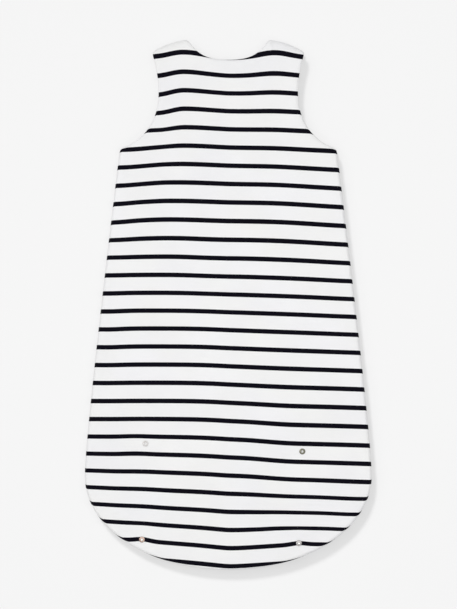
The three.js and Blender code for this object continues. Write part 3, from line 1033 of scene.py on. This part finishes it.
def pressed_plate(loops, z0, z1, bevel):
    """A plate with rounded edges, from an outline and the outlines of its holes."""
    curve = bpy.data.curves.new("plate", "CURVE")
    curve.dimensions = "2D"
    curve.fill_mode = "BOTH"
    curve.extrude = (z1 - z0) / 2 - bevel
    curve.bevel_depth = bevel
    curve.bevel_resolution = 2
    curve.offset = -bevel
    for loop in loops:
        spline = curve.splines.new("POLY")
        spline.points.add(len(loop) - 1)
        spline.use_cyclic_u = True
        for point, (x, y) in zip(spline.points, loop):
            point.co = (x, y, 0, 1)
    made = bpy.data.objects.new("plate", curve)
    mesh = bpy.data.meshes.new_from_object(made)
    points = np.array([v.co for v in mesh.vertices]) + (0, 0, (z0 + z1) / 2)
    faces = [tuple(f.vertices) for f in mesh.polygons]
    bpy.data.objects.remove(made)
    bpy.data.curves.remove(curve)
    bpy.data.meshes.remove(mesh)
    return points, faces


def ribbon(path, half_width, half_thickness, sides=12):
    """A flat band along a path of (y, z) points, its width along X."""
    path = np.array(path, float)
    along = unit(np.gradient(path, axis=0))
    angles = turns(sides)
    sections = []
    for (y, z), (ty, tz) in zip(path, along):
        x = half_width * np.sign(np.cos(angles)) * np.abs(np.cos(angles)) ** 0.6
        out = half_thickness * np.sin(angles)
        sections.append(np.column_stack([x, y - tz * out, z + ty * out]))
    return swept(sections)


def make_slider():
    low, high = box("zip_slider")
    middle = (low.y + high.y) / 2
    half = high.x

    def at(points):
        return [(x, y + middle) for x, y in points]

    body = [(-half + 0.5, -5.5), (half - 0.5, -5.5), (half, -3), (half, 2.5), (half - 1.2, 5.5), (1.3, 5.5), (0, 4.2),
            (-1.3, 5.5), (-half + 1.2, 5.5), (-half, 2.5), (-half, -3)]
    shape = Shape()
    for z0, z1 in ((2.7, 3.5), (7.1, 7.9)):
        shape.add(*pressed_plate([rounded(at(body), 1.0)], z0, z1, 0.25))
    for sign in (-1, 1):
        wall = [(half - 1, -5), (half, -4.6), (half, 1.6), (half - 1, 2)]
        wall = [(x * sign, y) for x, y in wall]
        for z0, z1 in ((3.2, 4.6), (5.9, 7.4)):
            shape.add(*pressed_plate([rounded(at(wall), 0.4)], z0, z1, 0.12))
    post = [(-0.4, 1.0), (0, 0), (0.4, 1.0), (0.4, 3.9), (0, 4.6), (-0.4, 3.9)]
    shape.add(*pressed_plate([at(post)], 3.0, 7.6, 0.05))
    arch = [(3.4, 3.1), (3.45, 2.3), (3.3, 1.75), (2.85, 1.4), (2.0, 1.28), (0, 1.27), (-2.0, 1.28), (-2.85, 1.4),
            (-3.3, 1.75), (-3.45, 2.3), (-3.4, 3.1)]
    shape.add(*ribbon([(y + middle, z) for y, z in arch], 0.8, 0.28))
    piece("zip_slider_body", shape, ENAMEL, "slider", ["zip_slider"], sharp=50)

    low, high = box("zip_pull_tab")
    end, pivot, wide = low.y - middle, 0.3, high.x
    tab = [(-wide + 0.5, pivot), (wide - 0.5, pivot), (wide * 0.8, -8), (wide, end + 1.5), (wide - 1.4, end),
           (-wide + 1.4, end), (-wide, end + 1.5), (-wide * 0.8, -8)]
    bail = [(-1.2, -0.3), (1.2, -0.3), (1.2, -5.4), (-1.2, -5.4)]
    grip = [(-1.1, end + 5.2), (1.1, end + 5.2), (1.1, end + 2.2), (-1.1, end + 2.2)]
    loops = [rounded(at(tab), 1.2), rounded(at(bail), 0.5), rounded(at(grip), 1.0)]
    shape = Shape().add(*pressed_plate(loops, low.z, high.z, 0.16))
    piece("zip_pull", shape, ENAMEL, "pull", ["zip_pull_tab"], sharp=50)


def make_stops():
    for name in ("zip_top_stop_left", "zip_top_stop_right", "zip_bottom_stop"):
        low, high = box(name)
        shape = Shape()
        # Two jaws pinched on the tape, with a web between them.
        jaw = rounded(rectangle(low, high), 0.6)
        shape.add(*pressed_plate([jaw], low.z, low.z + 0.9, 0.22))
        shape.add(*pressed_plate([jaw], high.z - 0.9, high.z, 0.22))
        web = rounded(rectangle(low, high, 0.3, 0.4), 0.3)
        shape.add(*pressed_plate([web], low.z + 0.5, high.z - 0.5, 0.1))
        piece(f"{name}_clip", shape, ENAMEL, "main", [name], sharp=50)


def make_underlap():
    low, high = box("zip_underlap")
    corners = rounded(rectangle(low, high), 10, 8)
    edge = []
    for a, b in zip(corners, corners[1:] + corners[:1]):
        parts = max(1, round(np.linalg.norm(b - a) / 4))
        edge += [a + (b - a) * k / parts for k in range(parts)]
    boundary = Boundary(edge, [(0.25, 2.5)] * len(edge))
    places, faces = triangulated(boundary, 6.0, (0.15, 0.5, 1.0))
    inside, _, _, along = boundary.nearest(places)
    rise = low.z + 0.3 + 0.28 * waves(places, 31) - rolled(np.maximum(inside, 0), 0.25, 2.5)
    shape = thick(np.column_stack([places, rise + 0.3]), faces, 0.6)
    cloth(piece("zip_underlap_cloth", shape, WHITE_JERSEY, "main", ["zip_underlap"]), boundary.area())


def stitches(path, length=2.7, pitch=3.4, thickness=0.2):
    """A row of stitches, each a short thread that bows out of the cloth between two needle holes."""
    path = np.array(path, float)
    steps = np.linalg.norm(np.diff(path, axis=0), axis=1)
    so_far = np.concatenate([[0], np.cumsum(steps)])
    shape = Shape()
    for start in np.arange(0, so_far[-1] - length, pitch):
        ends = [np.array([np.interp(s, so_far, path[:, k]) for k in range(3)])
                for s in np.linspace(start, start + length, 5)]
        bow = np.array([0.12, -0.02, -0.07, -0.02, 0.12])
        shape.add(*tube([p + (0, 0, b) for p, b in zip(ends, bow)], thickness, 5))
    return shape


def make_topstitch():
    """Two rows beside the zip's channel and one across its foot end, in the front's outer face."""
    out, end = CHANNEL_HALF + 4.5, CHANNEL_END_Y - 4.5
    for side, sign in SIDES:
        path = [(out * sign, y, 0.12) for y in np.linspace(343, end, 160)]
        path += [(x * sign, end, 0.12) for x in np.linspace(out, 1, 6)[1:]]
        piece(f"zip_topstitch_{side}", stitches(path), THREAD, "main")


# ---- Snaps ----


def lathe(profile, centre, segments=40):
    """A round solid turned about Z from (radius, height) points, which close on themselves or near the axis."""
    angles = turns(segments)
    rings = [np.column_stack([r * np.cos(angles), r * np.sin(angles), np.full(segments, z)]) for r, z in profile]
    return np.concatenate(rings) + np.array(centre), ring_faces(len(profile), segments)


SOCKET = [(2.0, 0.06), (2.0, 1.3), (2.12, 1.55), (2.35, 1.74), (2.7, 1.8), (3.1, 1.74), (3.4, 1.5), (3.6, 1.15),
          (3.85, 0.92), (4.3, 0.84), (4.62, 0.72), (4.75, 0.5), (4.7, 0.25), (4.5, 0.08), (4.2, 0.0), (2.1, 0.0),
          (2.0, 0.06)]
STUD_POST = [(0.02, 2.3), (0.5, 2.32), (0.95, 2.46), (1.25, 2.58), (1.5, 2.5), (1.7, 2.25), (1.74, 2.0),
             (1.62, 1.72), (1.5, 1.5), (1.48, 0.5), (0.02, 0.5)]
STUD_RING = [(1.52, 0.0), (1.52, 1.1), (1.7, 0.95), (2.2, 0.88), (3.6, 0.86), (4.2, 0.84), (4.6, 0.7), (4.75, 0.45),
             (4.7, 0.22), (4.5, 0.06), (4.2, 0.0), (1.52, 0.0)]


def make_snaps():
    # Each snap gets a shade of the same nickel: the dark, grey and warm ones are painted reflections in the metal's
    # colour.
    reflection_shades = {
        "snap_socket_left": NICKEL_MATT,
        "snap_socket_right": NICKEL_PAINTED_DARK_REFLECTION,
        "snap_stud_left": NICKEL_PAINTED_WARM_REFLECTION,
        "snap_stud_right": NICKEL_PAINTED_GREY_REFLECTION,
    }
    for name, finish in reflection_shades.items():
        kind, side = name.split("_")[1:]
        body = "main" if kind == "socket" else "foot"
        low, high = box(name)
        x, y = (low.x + high.x) / 2, (low.y + high.y) / 2
        shape = Shape().add(*lathe(SOCKET if kind == "socket" else STUD_RING, (x, y, low.z)))
        if kind == "socket":
            # The two wires of the spring that grips the stud.
            for off in (-1.9, 1.9):
                bend = [(x + off * (1 - 0.1 * abs(v)), y + v * 1.25, low.z + 0.85) for v in np.linspace(-1, 1, 7)]
                shape.add(*tube(bend, 0.13, 6))
        else:
            post = lathe(STUD_POST, (x, y, low.z), 32)
            piece(f"{name}_post", post, ("snap_metal", NICKEL_PALE), body, sharp=60)
        piece(f"{name}_metal", shape, ("snap_metal", finish), body, [name], sharp=60)

        ring_low, ring_high = box(f"{kind}_prong_ring_{side}")
        z0, z1 = ring_low.z, ring_high.z
        ring = [(2.6, z0 + 0.2), (2.6, z1 - 0.15), (2.8, z1), (4.4, z1), (4.75, z1 - 0.25), (4.7, z0 + 0.2),
                (4.3, z0), (3.0, z0), (2.6, z0 + 0.2)]
        shape = Shape().add(*lathe(ring, (x, y, 0), 32))
        for angle in turns(5):
            foot = np.array([x + 3.2 * math.cos(angle), y + 3.2 * math.sin(angle), z1 - 0.2])
            shape.add(*tube([foot, foot + (0, 0, 0.6), foot + (0, 0, 1.1)], 0.35, 6))
        prong_metal = "prong_ring_metal", NICKEL_PALE
        piece(f"{kind}_prongs_{side}", shape, prong_metal, body, [f"{kind}_prong_ring_{side}"], sharp=60)

        patch_low, patch_high = box(f"{kind}_patch_{side}")
        radius, z0, z1 = 7.0, patch_low.z, patch_high.z
        patch = [(2.4, z0), (2.4, z1), (radius - 0.3, z1), (radius, z1 - 0.2), (radius, z0 + 0.2), (radius - 0.3, z0),
                 (2.4, z0)]
        piece(f"{kind}_patch_cloth_{side}", lathe(patch, (x, y, 0), 36), SEAM_CLOTH, body, [f"{kind}_patch_{side}"])


# ---- Labels, both blank ----


def make_labels():
    for name, sway in (("care_label", 0.5), ("neck_label", -0.4)):
        low, high = box(name)

        def place(u, v):
            x = low.x + (high.x - low.x) * u
            y = low.y + (high.y - low.y) * v
            hem = 0.1 if v < 0.06 or v > 0.94 else 0
            return x, y, (low.z + high.z) / 2 + 0.12 + hem + sway * 0.4 * math.sin(u * 5 + v * 3)

        points, faces = grid_sheet(24, 30, place)
        made = piece(f"{name}_satin", thick(points, faces, 0.25), SATIN, "main", [name])
        cloth(made, (high.x - low.x) * (high.y - low.y) * MM * MM)


# Slots with their materials, then the snaps' nickel: one metal in several shades, the dark, grey and warm ones with
# painted reflections in their colour.
STRIPED = "striped_jersey", jersey("jersey_striped", True)
WHITE_JERSEY = "white_jersey", jersey("jersey_white", False)
WADDING = "wadding", wadding_material()
SEAM_CLOTH = "seam_cloth", jersey("jersey_turnings", False)
TAPE = "zip_tape", woven("zip_tape_weave", (0.8, 0.8, 0.8), 0.5)
SATIN = "label_tape", woven("label_satin", (0.85, 0.85, 0.84), 0.25, 0.3)
COIL = "zip_teeth", enamel("zip_coil_plastic", (0.82, 0.82, 0.82), 0.4)
ENAMEL = "zip_metal", enamel("zip_white_enamel", (0.8, 0.8, 0.8))
THREAD = "seam_cloth", thread_material()
NICKEL_PALE = metal("nickel_pale", (0.78, 0.78, 0.76), (0.62, 0.6, 0.55))
NICKEL_MATT = metal("nickel_matt", (0.86, 0.85, 0.84), (0.74, 0.72, 0.7), 0.6)
# The same nickel with painted reflections in its colour: grey, dark and warm.
NICKEL_PAINTED_GREY_REFLECTION = metal("nickel_painted_grey_reflection", (0.3, 0.29, 0.29), (0.42, 0.4, 0.38), 0.4)
NICKEL_PAINTED_DARK_REFLECTION = metal("nickel_painted_dark_reflection", (0.2, 0.195, 0.15), (0.3, 0.29, 0.23))
NICKEL_PAINTED_WARM_REFLECTION = metal("nickel_painted_warm_reflection", (0.26, 0.19, 0.16), (0.42, 0.33, 0.28))

make_camera()
make_light(make_floor())
make_back()
make_front()
make_seams()
make_coils()
make_tapes()
make_slider()
make_stops()
make_underlap()
make_topstitch()
make_snaps()
make_labels()
